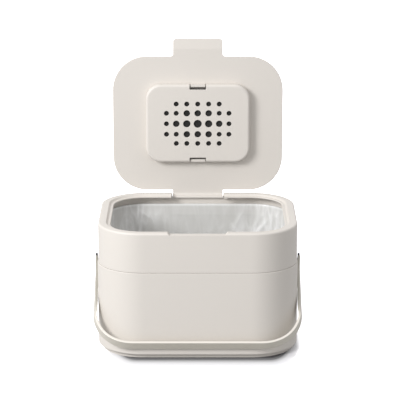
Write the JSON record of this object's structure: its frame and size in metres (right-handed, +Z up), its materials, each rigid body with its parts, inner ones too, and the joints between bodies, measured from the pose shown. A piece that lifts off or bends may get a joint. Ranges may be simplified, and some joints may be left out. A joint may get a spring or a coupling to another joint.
{
  "type": "kitchen compost bin",
  "caption": "Counter-top compost bin: rounded bucket, lift-off collar clamping a liner bag, hinged lid with a filter housing, and a folding flat strap handle.",
  "frame": {"origin": "centre of the floor rectangle that the bin covers with its lid open and its strap folded down, at floor level", "axes": "+X to the right of someone facing the front, +Y from the front towards the hinge at the back, +Z up"},
  "size_m": [0.2638, 0.2224, 0.3695],
  "materials": {
    "stone_plastic": "fine satin moulding, warm stone white",
    "strap_paint": "satin paint, warm stone grey with a faint metallic look",
    "dark_plastic": "dark grey satin",
    "pin_steel": "plain steel wire and rivet",
    "carbon_foam": "matt black open foam with activated carbon",
    "liner_film": "thin frosted compostable film"
  },
  "bodies": {
    "bucket": {"bucket": "stone_plastic", "liner_bag": "liner_film", "pivot_stud_left": "pin_steel", "pivot_stud_right": "pin_steel"},
    "collar": {"collar": "stone_plastic", "hinge_pin": "pin_steel"},
    "lid": {"lid": "stone_plastic"},
    "filter": {"filter_cover": "stone_plastic", "filter_pad": "carbon_foam"},
    "handle": {"handle_strap": "strap_paint", "handle_bush_left": "dark_plastic", "handle_bush_right": "dark_plastic"}
  },
  "joints": [
    {"name": "collar_lift", "type": "slide", "parent": "bucket", "child": "collar", "axis": [0, 0, 1], "range_m": [0, 0.035]},
    {"name": "lid_hinge", "type": "hinge", "parent": "collar", "child": "lid", "pos_m": [0, 0.10101, 0.1571], "axis": [1, 0, 0], "range_deg": [0, 90.6]},
    {"name": "filter_release", "type": "slide", "parent": "lid", "child": "filter", "axis": [0, -0.9999, 0.0105], "range_m": [0, 0.03]},
    {"name": "handle_pivot", "type": "hinge", "parent": "bucket", "child": "handle", "pos_m": [0, 0.00211, 0.099], "axis": [-1, 0, 0], "range_deg": [0, 126.35]}
  ]
}
